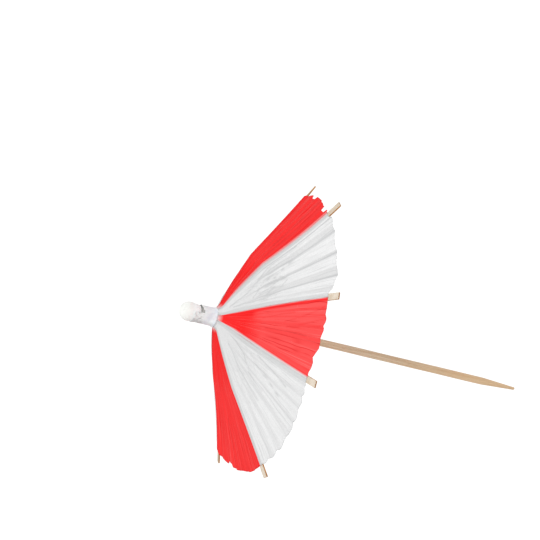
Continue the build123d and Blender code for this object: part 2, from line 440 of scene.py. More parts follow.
def upright_frame(azimuth, origin, along, normal):
    """Placing matrix of a strip from its side plane, where along and normal are (outward, up) pairs."""
    ahead, above = around(along[0], azimuth, along[1]), around(normal[0], azimuth, normal[1])
    turn = Matrix((ahead, around(1, azimuth + math.pi / 2, 0), above)).transposed()
    return Matrix.Translation(origin) @ turn.to_4x4()


chord = (math.sin(rib_angle), -math.cos(rib_angle))
chord_normal = (math.cos(rib_angle), math.sin(rib_angle))
rib_draws = random.Random(3)
for i, fold in enumerate(rib_folds):
    name = f"rib_{i + 1}"
    sizes = {"Start": fold_room, "Length": rib_length - fold_room, "Root width": rib_root_width}
    sizes.update({"Width": rib_width, "Taper": rib_taper, "Thickness": rib_thickness, "Bow": rib_bow})
    sizes.update({"Waver": rib_waver, "Skew": rib_draws.uniform(-1, 1) * rib_skew, "Seed": float(i)})
    sizes.update({"Bend start": bend_start, "Bend power": bend_power, "Tip drop": rib_drops[i]})
    sizes.update({"Dip": rib_dips[i], "Twist length": twist_length, "Twist": rib_twists[i]})
    sizes.update({"Extra": rib_extras[i], "Steps along": 90, "Steps across": 5, "Material": rib_board})
    strip = grown(name + "_strip", strip_tree, sizes)
    strip.transform(upright_frame(rib_azimuths[i], Vector(fold["pos_m"]), chord, chord_normal))
    add_piece(strip, rib_board, f"rib_arm_{i + 1}", "rib_board", name, smooth=False)
coat("rib_tabs", rib_board)

# Struts: narrower strips of card, scored at both ends. The foot beyond the outer score is glued under the
# rib, and the tab beyond the inner score is glued to the runner under its band.
runner_fold_z = 67.82 * mm
strut_thickness = 0.35 * mm
strut_width = 1.4 * mm
strut_taper = 6.0 * mm
strut_waver = 0.08 * mm
strut_card = board(
    "strut card", screen(226, 217, 203), screen(208, 196, 178), screen(190, 150, 104), screen(160, 118, 74)
)
for i, fold in enumerate(strut_folds):
    inner = around(hinge_radius, rib_azimuths[i], runner_fold_z)
    reach = Vector(fold["pos_m"]) - inner
    along = (reach.dot(around(1, rib_azimuths[i], 0)) / reach.length, reach.z / reach.length)
    name = f"strut_{i + 1}"
    sizes = dict.fromkeys(strip_sizes, 0.0)
    sizes.update({"Length": reach.length, "Root width": rib_root_width, "Width": strut_width})
    sizes.update({"Taper": strut_taper, "Thickness": strut_thickness, "Waver": strut_waver, "Seed": i + 20.0})
    sizes.update({"Bend power": 1.0, "Twist length": mm})
    sizes.update({"Steps along": 40, "Steps across": 4, "Material": strut_card})
    strip = grown(name + "_strip", strip_tree, sizes)
    strip.transform(upright_frame(rib_azimuths[i], inner, along, (-along[1], along[0])))
    add_piece(strip, strut_card, f"strut_arm_{i + 1}", "strut_card", name, smooth=False)
    coat(f"strut_foot_{i + 1}", strut_card)
coat("strut_tabs", strut_card)

# Runner: a paper sleeve that slides on the pick. The strut tabs are glued round it, and a band of thin
# white paper is wound over them.
runner_bore = 1.05 * mm
runner_wall, band_wall = 0.3 * mm, 0.13 * mm
# heights over which the neck wrap, which is of the band's paper, begins to look handled
wrap_upper = (83.2 * mm, 84.9 * mm)
neck_paper, tree, shader = new_material("thin white paper", 0.88, 0.2)
place = own_place(tree)
spot = split(place)
fibre = paper_fibre(place, 3000.0)
clouds = cloud(place, 700.0, 2.0)
cold = blend(ease(clouds, 0.35, 0.65), screen(243, 249, 250), screen(230, 236, 244))
cold = tint(cold, fibre["Mottle"], 0.25, screen(214, 218, 224))
upper = ease(calc("MULTIPLY_ADD", clouds, 1.2 * mm, spot["Z"]), *wrap_upper)
cold = blend(upper, cold, screen(240, 244, 243))
worn = times(ease(cloud(place, 1300.0, 3.0), 0.45, 0.68), upper)
cold = tint(cold, worn, 0.85, screen(186, 189, 189))
# painted shade: the wrap is drawn greyer on its -X side, more so toward the bead
low_side_shade = ease(times(spot["X"], -1.0), 1.1 * mm, 2.5 * mm)
low_side_shade = times(low_side_shade, calc("MULTIPLY_ADD", upper, 0.45, 0.2))
cold = blend(low_side_shade, cold, screen(176, 178, 179))
cold = tint(cold, fibre["Fleck"], 0.4, screen(160, 160, 168))
set_surface(shader, cold, fibre["Height"], 0.5, 0.04 * mm)
add_roll("runner_roll", "runner", "rolled_paper", "runner_sleeve", runner_bore, runner_wall, rolled_paper)
band_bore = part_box("runner_band")[1].x - band_wall
add_roll("runner_band_roll", "runner", "neck_paper", "runner_band", band_bore, band_wall, neck_paper)

# Retainer: a short ring cut from soft plastic tube. It grips the pick just below the runner, so that the
# canopy stays open.
ring_low, ring_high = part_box("retainer_ring")
ring_bore = 1.05 * mm
ring_edge = 0.12 * mm
ring_rows, ring_sectors = 24, 40
half_wall = (ring_high.x - ring_bore) / 2
half_height = (ring_high.z - ring_low.z) / 2
ring_profile = []
for k in range(ring_rows):
    turn = 2 * math.pi * k / ring_rows
    corner_x = math.copysign(half_wall - ring_edge, math.cos(turn))
    corner_z = math.copysign(half_height - ring_edge, math.sin(turn))
    radius = ring_bore + half_wall + corner_x + ring_edge * math.cos(turn)
    ring_profile.append((radius, ring_low.z + half_height + corner_z + ring_edge * math.sin(turn)))


def ring_point(row, angle):
    cut = 0.05 * mm * math.sin(angle + 0.6) * (1 if row[1] > ring_low.z + half_height else -0.4)
    return around(row[0], angle, row[1] - abs(cut))


plastic, tree, shader = new_material("milky plastic", 0.38, 0.5)
haze = cloud(own_place(tree), 1400.0, 3.0)
milk = blend(ease(haze, 0.35, 0.65), screen(233, 233, 229), screen(217, 219, 217))
set_surface(shader, milk, haze, 0.25, 0.03 * mm)
ring = turned("retainer_tube", ring_profile, ring_sectors, True, ring_point)
add_piece(ring, plastic, "retainer", "retainer_plastic", "retainer_ring")

# Canopy: eight gores of thin paper, red and white in turn, pressed into fine pleats and crumpled where the
# umbrella folds. Each gore is glued over two ribs, so it is two half panels that meet between them.
paper_thickness = 0.09 * mm
glue_room = 0.03 * mm
paper_lift = rib_thickness / 2 + glue_room + paper_thickness
paper_start = 0.15 * mm
neck_rise, neck_rise_reach = 0.62 * mm, 1.1 * mm
bare_tip = 3.5 * mm
paper_end = rib_length - bare_tip
rows_along = 104
columns_per_facet = 5
# for each gore in turn: how deep its pleats and crumples are, and how far its rim wanders and scallops
pleat_depths = [depth * mm for depth in (0.3, 0.5, 0.26, 0.3, 0.3, 0.3, 0.26, 0.16)]
crumple_depths = [depth * mm for depth in (0.15, 0.3, 0.1, 0.25, 0.2, 0.25, 0.1, 0.2)]
rim_waves = [depth * mm for depth in (0.5, 0.25, 0.5, 0.4, 0.4, 0.4, 0.35, 0.45)]
rim_scallops = [depth * mm for depth in (0.45, 0.35, 0.15, 0.3, 0.3, 0.3, 0.12, 0.7)]
# where the pleats and their sharp creases open out, from none to full, along the ribs
pleat_opening, crease_opening = (2 * mm, 32 * mm), (5 * mm, 20 * mm)
crease_line = 0.2 * mm
# crumples lie in a ring round the crown, in cells that are longer along the ribs
crumple_place, crumple_reach = 18.0 * mm, 6.5 * mm
cell_length, cell_width, cell_warp = 6.9 * mm, 1.8 * mm, 0.2
# the noise that warps the cells takes its seed from the clock unless it is given one
crumple_seed = 5
noise.seed_set(crumple_seed)
ridge_line, sharp_crumple = 0.055, 0.6 * mm
ripple_depth, ripple_length, ripple_width = 0.06 * mm, 8 * mm, 1.1 * mm
sag_depth, sag_place, sag_reach = 0.25 * mm, 13 * mm, 6 * mm
glued_margin = 1.4 * mm
fold_depth, fold_reach, fold_line = 0.14 * mm, 0.9 * mm, 0.2 * mm
# tears and swells of the rim: (share across the gore, half width, depth)
rim_nicks = {1: ((0.27, 0.05, 0.7 * mm),), 7: ((0.3, 0.05, 1.1 * mm),)}
rim_nicks[3] = ((0.16, 0.06, 1.3 * mm), (0.72, 0.07, 0.8 * mm))
rim_bulges = {2: ((0.2, 0.42, 1.3 * mm), (0.92, 0.25, 0.8 * mm))}
# painted light and shade in a gore: how much paler a red gore is drawn toward its rim, and how much greyer a
# white one
gore_light_shares = {1: 0.66, 3: 0.2, 5: 0.35, 7: 0.2, 8: 0.35}
# over how many mm the dye sets in at a rib, and how many mm from the rib's middle it begins
feathers = {"panel_3_left": 1.8, "panel_1_left": 0.65}
bare_edges = {"panel_1_left": 0.4}
plain_feather = 0.45
# ribs that the red paper covers to past the far edge, more so at the crown; laps are in half rib widths
red_lapped_ribs = (4, 7)
red_overlap, rib_edge = 1.4, 0.95
crown_spread = 2.5
# pleats of the two front gores: (share across the gore, height in pleat depths)
drawn_creases = {
    1: (
        (0, 0), (0.12, 0.5), (0.44, -0.6), (0.5, 0.2), (0.63, -0.6), (0.69, 0.6), (0.78, -0.2), (0.82, 0.3),
        (0.89, -0.3), (0.93, 0.3), (1, 0),
    ),
    2: (
        (0, 0), (0.09, 0.4), (0.215, -0.5), (0.315, 0.7), (0.48, -0.3), (0.515, 0.1), (0.77, -0.8),
        (0.853, 0.7), (0.96, -0.2), (1, 0),
    ),
}
# folds that handling has pressed into the front gores: (mm along the ribs, share across the gore)
pressed_folds = {
    1: (
        ((18, 0.76), (25, 0.84), (30, 0.86)), ((27, 0.69), (35, 0.82), (40, 0.92)), ((32, 0.64), (42, 0.77)),
        ((28, 0.59), (40, 0.65)), ((20, 0.49), (28, 0.51), (36, 0.49)), ((30, 0.35), (41, 0.43)),
        ((18, 0.34), (27, 0.3), (40, 0.2)),
    ),
    2: (
        ((17.7, 0.68), (23.3, 0.65), (26.5, 0.72), (30.5, 0.75)), ((17.7, 0.66), (15.7, 0.5), (13.3, 0.28)),
        ((15.7, 0.49), (19, 0.44), (22, 0.44)), ((16, 0.36), (19, 0.34), (23, 0.46), (26.5, 0.43)),
        ((18, 0.64), (21, 0.58), (25, 0.48)), ((18.5, 0.24), (20.5, 0.32), (24.5, 0.3), (26, 0.39)),
        ((4.5, 0.48), (11, 0.63), (15.7, 0.8), (20, 0.91), (29, 0.94)), ((6, 0.24), (11, 0.19), (19, 0.09)),
    ),
    8: (
        ((7, 0.89), (15.3, 0.72), (17.7, 0.62)), ((8, 0.46), (17, 0.36), (28, 0.36)),
        ((20, 0.52), (28, 0.53)), ((21, 0.76), (35, 0.66)), ((20, 0.93), (34.5, 0.82)),
    ),
}
next_azimuths = rib_azimuths[1:] + rib_azimuths[:1]
gore_angles = [(end - start) % (2 * math.pi) for start, end in zip(rib_azimuths, next_azimuths)]


def rib_line(along, lift):
    """Radius and height of a rib's bowed line, at a distance along its chord and a height above the board."""
    part = along / rib_length
    tilt = math.atan(4 * rib_bow * (1 - 2 * part) / rib_length)
    ahead = along - lift * math.sin(tilt)
    above = 4 * rib_bow * part * (1 - part) + lift * math.cos(tilt)
    radius = hinge_radius + ahead * chord[0] + above * chord_normal[0]
    return radius, hinge_z + ahead * chord[1] + above * chord_normal[1]


def rib_half(along):
    """Half of a rib's width at a distance along its chord."""
    return (rib_root_width + (rib_width - rib_root_width) * min(along / rib_taper, 1)) / 2


def gore_line(gore, along):
    """Both ribs' middle and edge points under a gore's paper."""
    points = []
    for rib, way in ((gore, 1), ((gore + 1) % rib_count, -1)):
        past = max(0, (along - bend_start) / (rib_length - bend_start))
        sunk = rib_drops[rib] * past**bend_power + rib_dips[rib] * 4 * past * (1 - past)
        radius, height = rib_line(along, paper_lift - sunk)
        middle = around(radius, rib_azimuths[rib], height)
        points.append((middle, middle + around(way * rib_half(along), rib_azimuths[rib] + math.pi / 2, 0)))
    return points


def pleat_creases(gore):
    """Creases across a gore as (share, height) pairs: wide faces that fall, narrow ones that rise."""
    if gore + 1 in drawn_creases:
        return drawn_creases[gore + 1]
    draws = random.Random(100 + gore)
    count = max(4, round(math.degrees(gore_angles[gore]) / 7.2))
    widths, heights = [draws.uniform(0.12, 0.25)], [0.0, draws.uniform(0.3, 0.8)]
    for _ in range(count):
        widths += [draws.uniform(0.45, 1.1), draws.uniform(0.2, 0.45)]
        heights += [-draws.uniform(0.4, 1.0), draws.uniform(0.3, 1.0)]
    widths[-1] *= 0.6
    heights[-1] = 0.0
    return list(zip(np.concatenate([[0], np.cumsum(widths)]) / sum(widths), heights))


def step(value, low, high):
    """Smooth step of a number from 0 at low to 1 at high."""
    part = min(max((value - low) / (high - low), 0), 1)
    return part * part * (3 - 2 * part)


def off_fold(gore, along, across, width):
    """Distance of a point on a gore from the nearest pressed fold."""
    nearest = 1.0
    for line in pressed_folds.get(gore + 1, ()):
        for (a, s), (b, t) in zip(line, line[1:]):
            start, run = Vector((a * mm, s * width)), Vector(((b - a) * mm, (t - s) * width))
            spot = Vector((along, across)) - start
            part = min(max(spot.dot(run) / run.length_squared, 0), 1)
            nearest = min(nearest, (spot - run * part).length)
    return nearest


def paper_shape(gore, creases, along, share, width):
    """Height of a gore's pleats and crumples, its share of painted shade on narrow rising pleat faces, and
    its share of painted shade along valley creases, crumple edges and handling folds.
    """
    places, heights = [c[0] for c in creases], [c[1] for c in creases]
    opened = step(along, *crease_opening) * pleat_depths[gore] / pleat_depths[1]
    face = min(max(int(np.searchsorted(places, share)), 1), len(places) - 1)
    rising = heights[face] > heights[face - 1]
    edge = min(share - places[face - 1], places[face] - share) * width
    # painted shade: the narrow rising pleat faces, where the paper lies double, are drawn darker
    facet_shade = step(edge, -0.1 * mm, 0.3 * mm) * opened if rising else 0
    off_valley = min(abs(share - place) for place, height in creases if height < 0) * width
    # painted shade along the valley creases
    crease_shade = math.exp(-((off_valley / crease_line) ** 2)) * opened
    pleat = float(np.interp(share, places, heights)) * pleat_depths[gore] * step(along, *pleat_opening)
    spot = Vector((along / cell_length, (share - 0.5) * width / cell_width, gore * 7.3))
    spot += cell_warp * noise.noise_vector(spot * 1.7)
    cells = noise.voronoi(spot)[0]
    crumpled = math.exp(-(((along - crumple_place) / crumple_reach) ** 2)) * crumple_depths[gore]
    # painted shade along the edges of the crumple cells
    crumple_edge_shade = math.exp(-(((cells[1] - cells[0]) / ridge_line) ** 2)) * crumpled / sharp_crumple
    off = off_fold(gore, along, share * width, width)
    # painted shade along the folds from handling
    fold_line_shade = 0.75 * math.exp(-((off / fold_line) ** 2))
    crumple = (0.5 - cells[0]) * 2 * crumpled - fold_depth * max(0, 1 - off / fold_reach)
    ripple_spot = Vector((along / ripple_length, share * width / ripple_width, gore * 3.1 + 40))
    ripple = ripple_depth * noise.noise(ripple_spot)
    sag = sag_depth * math.sin(math.pi * share) * math.exp(-(((along - sag_place) / sag_reach) ** 2))
    inside = step(min(share, 1 - share) * width, 0, glued_margin)
    height = pleat + (crumple + ripple - sag) * inside
    return height, facet_shade * inside, max(crease_shade, crumple_edge_shade * inside, fold_line_shade * inside)


def rim_reach(gore, share):
    """How far the ragged rim stands out past the round cut."""
    drift = noise.noise(Vector((share * 4.5, gore * 5.7, 2.0)))
    scallops = 7 * gore_angles[gore] / math.radians(50)
    tooth = abs(math.sin(math.pi * scallops * share + 2.5 * drift)) - 0.6
    reach = rim_waves[gore] * drift + rim_scallops[gore] * tooth
    for place, half, depth in rim_nicks.get(gore + 1, ()):
        reach -= depth * (1 - step(abs(share - place), half * 0.75, half))
    for place, half, depth in rim_bulges.get(gore + 1, ()):
        reach += depth * (1 - step(abs(share - place), 0, half))
    return reach * step(min(share, 1 - share), 0, 0.05)


def paper_spot(gore, along, strip, share, left):
    """Point on the unpleated paper, the width walked to it from a rib's middle, and the gore's width. strip
    runs from the rib's middle at 0 to its edge at 1, and share across the gore between the ribs' edges."""
    (left_mid, left_edge), (right_mid, right_edge) = gore_line(gore, along)
    near_mid, near_edge = (left_mid, left_edge) if left else (right_mid, right_edge)
    if strip < -1:
        strip = -1 + (strip + 1) * (1 + crown_spread * (1 - step(along, 6 * mm, 15 * mm)))
    width = (right_edge - left_edge).length
    if strip < 1:
        return near_mid.lerp(near_edge, strip), (near_edge - near_mid).length * strip, width
    walked = (near_edge - near_mid).length + width * (share if left else 1 - share)
    return left_edge.lerp(right_edge, share), walked, width


def rim_along(gore, strip, share, left):
    """Distance along the ribs at which a column of the paper meets the rim."""
    goal = rim_radius + (rim_reach(gore, share) if strip >= 1 else 0)
    low, high = 30 * mm, 55 * mm
    for _ in range(24):
        between = (low + high) / 2
        inside = (paper_spot(gore, between, strip, share, left)[0] - crown).length < goal
        low, high = (between, high) if inside else (low, between)
    return low


# what the dye and the shading of the paper follow, with lengths in mm
paper_facts = ("from_rib", "along", "rib_half", "facet_shade", "crease_shade", "gore_light", "inked", "leaf")


def lap_columns(gore, left, overlap):
    """Columns of the paper over a rib, from its middle, or from past its far edge under lapping red paper."""
    rib = gore if left else (gore + 1) % rib_count
    lap = 0.0 if rib + 1 not in red_lapped_ribs else -overlap if gore % 2 == 0 else rib_edge
    return [(lap + (0.98 - lap) * k / 4, 0.0 if left else 1.0) for k in range(5)]


def gore_columns(gore, left):
    """Columns of the paper from a rib's edge to the gore's middle, with some on every crease."""
    creases = pleat_creases(gore)
    shares = {0.5, 0.0 if left else 1.0}
    for (first, _), (second, _) in zip(creases, creases[1:]):
        shares.update(first + (second - first) * k / columns_per_facet for k in range(columns_per_facet))
    shares = sorted(s for s in shares if (s <= 0.5) == left or s == 0.5)
    return [(1.0, share) for share in (shares if left else shares[::-1])]


def paper_mesh(name, gore, left, columns, drop, thickness):
    """Thin closed sheet of given columns, let down by a drop, with what its dye follows."""
    creases = pleat_creases(gore)
    lap = columns[0][0]
    half_panel = name[: name.rindex("_")]
    feather, bare = feathers.get(half_panel, plain_feather), bare_edges.get(half_panel, 0)
    above = around(chord_normal[0], rib_azimuths[gore] + gore_angles[gore] / 2, chord_normal[1])
    top, facts = [], []
    for strip, share in columns:
        last = rim_along(gore, strip, share, left)
        for k in range(rows_along + 1):
            along = paper_start + (last - paper_start) * k / rows_along
            spot, walked, width = paper_spot(gore, along, strip, share, left)
            height, facet_shade, crease_shade = 0.0, 0.0, 0.0
            if strip >= 1:
                height, facet_shade, crease_shade = paper_shape(gore, creases, along, share, width)
            if not drop:
                height += neck_rise * math.exp(-((along / neck_rise_reach) ** 2))
            top.append(spot + above * height)
            # painted light and shade of the gore
            gore_light = gore_light_shares.get(gore + 1, 0) * (1 + 0.2 * step(share, 0.6, 0.7))
            opened = mm * (0.25 + 0.75 * step(along, 0, 9 * mm))
            inked = (walked / opened - bare) / feather if lap >= 0 else 3
            places = (abs(walked) / mm, along / mm, rib_half(along) / mm)
            facts.append(places + (facet_shade, crease_shade, gore_light, inked, 2 * gore + (0 if left else 1)))
    rows = rows_along + 1
    top = np.array(top).reshape(len(columns), rows, 3)
    normal = np.cross(np.gradient(top, axis=1), np.gradient(top, axis=0)) * (1 if left else -1)
    normal /= np.linalg.norm(normal, axis=2, keepdims=True)
    top = top - drop * normal
    under = top - thickness * normal
    size = len(columns) * rows
    faces = []
    for c in range(len(columns) - 1):
        for k in range(rows_along):
            a, b = c * rows + k, (c + 1) * rows + k
            faces += [(a, b, b + 1, a + 1), (a + size, a + 1 + size, b + 1 + size, b + size)]
    border = [c * rows for c in range(len(columns))]
    border += [size - rows + k for k in range(1, rows)]
    border += [c * rows + rows_along for c in range(len(columns) - 2, -1, -1)]
    border += list(range(rows_along - 1, 0, -1))
    faces += [(a, a + size, b + size, b) for a, b in zip(border, border[1:] + border[:1])]
    mesh = bpy.data.meshes.new(name)
    mesh.from_pydata(np.concatenate([top.reshape(-1, 3), under.reshape(-1, 3)]).tolist(), [], faces)
    solid = bmesh.new()
    solid.from_mesh(mesh)
    close_mesh(solid, mesh)
    facts = np.array(facts + facts, dtype=np.float32)
    for k, label in enumerate(paper_facts):
        mesh.attributes.new(label, "FLOAT", "POINT").data.foreach_set("value", facts[:, k].copy())
    return mesh


def canopy_paper(name, dyed):
    """Thin fibrous paper, with painted shade where board backs it, on its folds and toward the crown, and
    painted light in some gores. Dye fades out at the crown and at the ribs.
    """
    made, tree, shader = new_material(name, 0.9, 0.08)
    read = {}
    for label in paper_facts:
        read[label] = add_node(tree, "ShaderNodeAttribute", attribute_name=label).outputs["Fac"]
    turn = calc("DIVIDE", read["from_rib"], calc("ADD", read["along"], 2.6))
    fan = {"X": turn, "Y": read["along"], "Z": read["leaf"]}
    fan = add_node(tree, "ShaderNodeCombineXYZ", fan).outputs[0]
    streaks = cloud(stretched(fan, 70, 0.13, 1), 1.0, 4.0)
    lines = cloud(stretched(fan, 130, 0.04, 1), 1.0, 1.0)
    drift = cloud(stretched(fan, 5, 0.1, 1), 1.0, 1.0)
    line_place = calc("MULTIPLY_ADD", turn, 24.0, times(read["leaf"], 37.3))
    line_place = {"W": calc("MULTIPLY_ADD", drift, 1.3, line_place), "Scale": 1.0}
    edges = {"voronoi_dimensions": "1D", "feature": "DISTANCE_TO_EDGE"}
    from_line = add_node(tree, "ShaderNodeTexVoronoi", line_place, **edges).outputs["Distance"]
    fade_way = {"Vector": fan, "Scale": (9, 0.11, 1), "Location": (0, 0, 0.5)}
    fade = cloud(add_node(tree, "ShaderNodeMapping", fade_way).outputs[0], 1.0, 1.0)
    kept = times(ease(fade, 0.42, 0.62), ease(read["along"], 5.0, 13.0))
    # painted shade along thin creases that fan out from the crown
    crease = times(rest(ease(from_line, 0.02, 0.13)), kept)
    place = own_place(tree)
    fibre = paper_fibre(place, 3600.0)
    # painted shade: paper over a rib lets less light through and is drawn darker
    rib_backing_shade = rest(ease(calc("DIVIDE", read["from_rib"], read["rib_half"]), 0.8, 1.55))
    thin_streak = ease(lines, 0.6, 0.74)
    # painted shade: the white paper is drawn darker toward the crown
    white = blend(ease(read["along"], 4.0, 34.0), screen(232, 232, 232), screen(247, 247, 247))
    if not dyed:
        # painted shade: a whole white gore drawn greyer
        white = blend(read["gore_light"], white, screen(223, 223, 223))
    white = tint(white, ease(streaks, 0.36, 0.66), 0.4, screen(222, 223, 223))
    white = tint(white, thin_streak, 0.25, screen(212, 213, 213))
    # painted shade on the narrow rising pleat faces
    white = tint(white, read["facet_shade"], 0.6, screen(210, 210, 210))
    white = tint(white, rib_backing_shade, 0.66, screen(203, 204, 204))
    # shade: colour of the painted shade on folds and creases, and of the darker fibre grain
    colour, shade = white, screen(172, 173, 174)
    fold_shade_amount, fan_crease_shade_amount, grain_amount = 0.6, 0.28, 0.13
    if dyed:
        # painted light: the red is drawn paler toward the rim, by the gore's share
        edge = calc("MULTIPLY_ADD", cloud(place, 160.0, 3.0), 9.0, read["along"])
        painted_light_share = times(ease(edge, 15.5, 25.0), read["gore_light"])
        red = blend(painted_light_share, screen(252, 41, 41), screen(254, 98, 97))
        red = tint(red, thin_streak, 0.75, screen(255, 124, 122))
        red = tint(red, read["facet_shade"], 0.4, screen(250, 40, 42))
        red = tint(red, rib_backing_shade, 0.85, screen(251, 38, 40))
        red = tint(red, fibre["Fleck"], 0.25, screen(255, 170, 165))
        dye = times(ease(read["inked"], -0.15, 1.0), ease(read["along"], -0.5, 2.35))
        colour, shade = blend(dye, white, red), screen(214, 16, 20)
        fold_shade_amount, fan_crease_shade_amount, grain_amount = 0.4, 0.6, 0.07
    # painted shade along creases, crumple edges and folds from handling
    colour = tint(colour, read["crease_shade"], fold_shade_amount, shade)
    # painted shade along the thin fan creases
    colour = tint(colour, crease, fan_crease_shade_amount, shade)
    colour = tint(colour, ease(fibre["Height"], 0.38, 0.62), grain_amount, shade)
    height = calc("MULTIPLY_ADD", streaks, 1.6, times(fibre["Height"], 0.5))
    set_surface(shader, colour, height, 0.5, 0.09 * mm)
    return made


white_paper = canopy_paper("white canopy paper", False)
red_paper = canopy_paper("red canopy paper", True)
crown = Vector((0, 0, hinge_z))
rim_point = rib_line(paper_end, paper_lift)
rim_radius = math.hypot(rim_point[0], rim_point[1] - hinge_z)
lap_thickness, lap_room = 0.02 * mm, 0.005 * mm
for gore in range(rib_count):
    paper, slot = (red_paper, "red_paper") if gore % 2 == 0 else (white_paper, "white_paper")
    for left in (True, False):
        rib = gore if left else (gore + 1) % rib_count
        arm = f"rib_arm_{rib + 1}"
        node = f"panel_{gore + 1}_" + ("left" if left else "right")
        whole = lap_columns(gore, left, red_overlap) + gore_columns(gore, left)
        sheet = paper_mesh(node + "_paper", gore, left, whole, 0, paper_thickness)
        panel = add_piece(sheet, paper, arm, slot, node)
        laps, glued = lap_columns(gore, left, rib_edge), []
        if laps[0][0] < 0.9:
            strip = paper_mesh(node + "_lap", gore, left, laps, paper_thickness + lap_room, lap_thickness)
            glued.append(add_piece(strip, paper, arm, slot))
        across = around(1 if left else -1, rib_azimuths[rib] + math.pi / 2, 0)
        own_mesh(panel)

# Neck wrap: two turns of thin white paper round the rib tabs. The outer turn laps part of the bead and is
# gathered and pressed out over the canopy at its lower edge; the inner turn shows in the gap under the bead,
# drawn in the grey rolled paper as painted shade in that gap.
# turns are in degrees round from the front
neck_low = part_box("neck_wrap")[0]
bead_low, bead_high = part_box("finial_bead")
wrap_radius = 2.5 * mm
wrap_thickness = 0.1 * mm
flare_radius = 2.72 * mm
flare_length = 1.5 * mm
neck_base = neck_low.z + 0.4 * mm
curl_turn, curl_half = -28, 40
curl_radius, curl_lift = 0.28 * mm, 0.22 * mm
hem_waver, lap_step = 0.15 * mm, 0.05 * mm
gather_depth, crush_depth, lump_depth = 0.07 * mm, 0.07 * mm, 0.07 * mm
crush_height = 1.4 * mm
skirt_base = hinge_z + 0.3 * mm
bead_radius = 2.6 * mm
bead_crown = 2.6 * mm
bead_seat_radius = 2.1 * mm
collar_height = 2.0 * mm
collar_start, collar_end = 13, 190
gap_depth = 0.9 * mm
gap_turn = 58
inner_radius = 2.38 * mm
inner_waist = 2.05 * mm
inner_base = neck_low.z + 2 * mm
inner_top = bead_low.z - 0.02 * mm
inner_thickness = 0.05 * mm
waist_height = 0.75 * mm
front = -math.pi / 2
wrap_rows, wrap_sectors, inner_sectors = 48, 160, 64


def bead_reach(height):
    """Radius of the plain bead at a height."""
    widest = bead_high.z - bead_crown
    if height >= widest:
        return bead_radius * math.sqrt(max(0, 1 - ((height - widest) / bead_crown) ** 2))
    drop = widest - bead_low.z
    draw_in = bead_radius - bead_seat_radius
    arc = (drop**2 + draw_in**2) / (2 * draw_in)
    return bead_radius - arc + math.sqrt(arc**2 - (widest - height) ** 2)


def round_noise(angle, lumps, layer):
    """Smooth noise that closes on itself round the pick."""
    return noise.noise(around(lumps, angle, layer))


def wrap_top(angle):
    """Height of the wrap's upper edge: a collar over the bead, then an open gap that closes slowly."""
    turn = math.degrees(angle - front) % 360
    wave = 0.12 * mm * round_noise(angle, 2.2, 4.0)
    if turn < collar_start:
        return bead_low.z + collar_height + wave
    if turn < collar_end:
        return bead_low.z - gap_depth * max(0.04, 1 - (turn - collar_start) / gap_turn) + 0.3 * wave
    return bead_low.z + collar_height * step(turn, collar_end, collar_end + 60) + wave


def wrap_point(row, angle):
    outer, share = row
    from_curl = abs((math.degrees(angle - front) - curl_turn + 180) % 360 - 180)
    curl = 1 - step(from_curl, 0, curl_half)
    low = skirt_base
    if outer:
        low = neck_base + curl_lift * curl + hem_waver * round_noise(angle, 3.0, 9.0)
    height = low + (wrap_top(angle) - low) * share
    down = min(1, max(0, 1 - (height - low) / flare_length))
    gathers = math.cos(9 * angle + 1.2 * math.sin(2 * angle)) + 0.7 * round_noise(angle, 5.0, 2.0)
    lap = lap_step * (((angle - front) / (2 * math.pi) + 0.42) % 1)
    radius = wrap_radius + lap + lump_depth * round_noise(angle, 2.5, height / (1.3 * mm))
    if outer:
        radius += (flare_radius - wrap_radius + curl_radius * curl) * down**2
        radius += gather_depth * gathers * down**1.5
    creased = step(height, bead_low.z - crush_height, bead_low.z)
    radius += crush_depth * creased * round_noise(angle, 4.5, height / (0.55 * mm))
    if height > bead_low.z:
        radius = max(radius, bead_reach(height) + wrap_thickness + 0.02 * mm)
    return around(radius if outer else radius - wrap_thickness, angle, height)


def inner_point(row, angle):
    outer, share = row
    height = inner_base + (inner_top - inner_base) * share
    drawn_in = step(height, bead_low.z - waist_height, bead_low.z)
    radius = inner_radius + (inner_waist - inner_radius) * drawn_in
    return around(radius if outer else radius - inner_thickness, angle, height)


wrap_profile = [(True, k / wrap_rows) for k in range(wrap_rows + 1)]
wrap_profile += [(False, 1 - k / wrap_rows) for k in range(wrap_rows + 1)]
outer_turn = turned("neck_wrap_paper", wrap_profile, wrap_sectors, True, wrap_point)
add_piece(outer_turn, neck_paper, "root", "neck_paper", "neck_wrap")
# painted shade: the inner turn is drawn in the grey rolled paper, so the gap under the bead looks dark
inner_turn = turned("neck_wrap_inner", wrap_profile, inner_sectors, True, inner_point)
add_piece(inner_turn, rolled_paper, "root", "neck_paper")

# Bead: a ball of white modelling clay pressed over the pick's end, with the dents that fingers leave and a
# dull, slightly chalky surface.
bead_rows, bead_sectors = 64, 72
bead_lump, lump_size = 0.075 * mm, 1.7 * mm
# heights over which the painted light on the clay's lower end fades out
light_fade_low, light_fade_high = bead_low.z + 1.2 * mm, bead_low.z + 3.6 * mm


def bead_point(row, angle):
    radius, height = row
    spot = around(radius, angle, height) / lump_size
    lump = noise.noise(spot) + 0.35 * noise.noise(spot * 2.7)
    reach = radius + bead_lump * lump * min(1, radius / mm)
    return around(reach, angle, height)


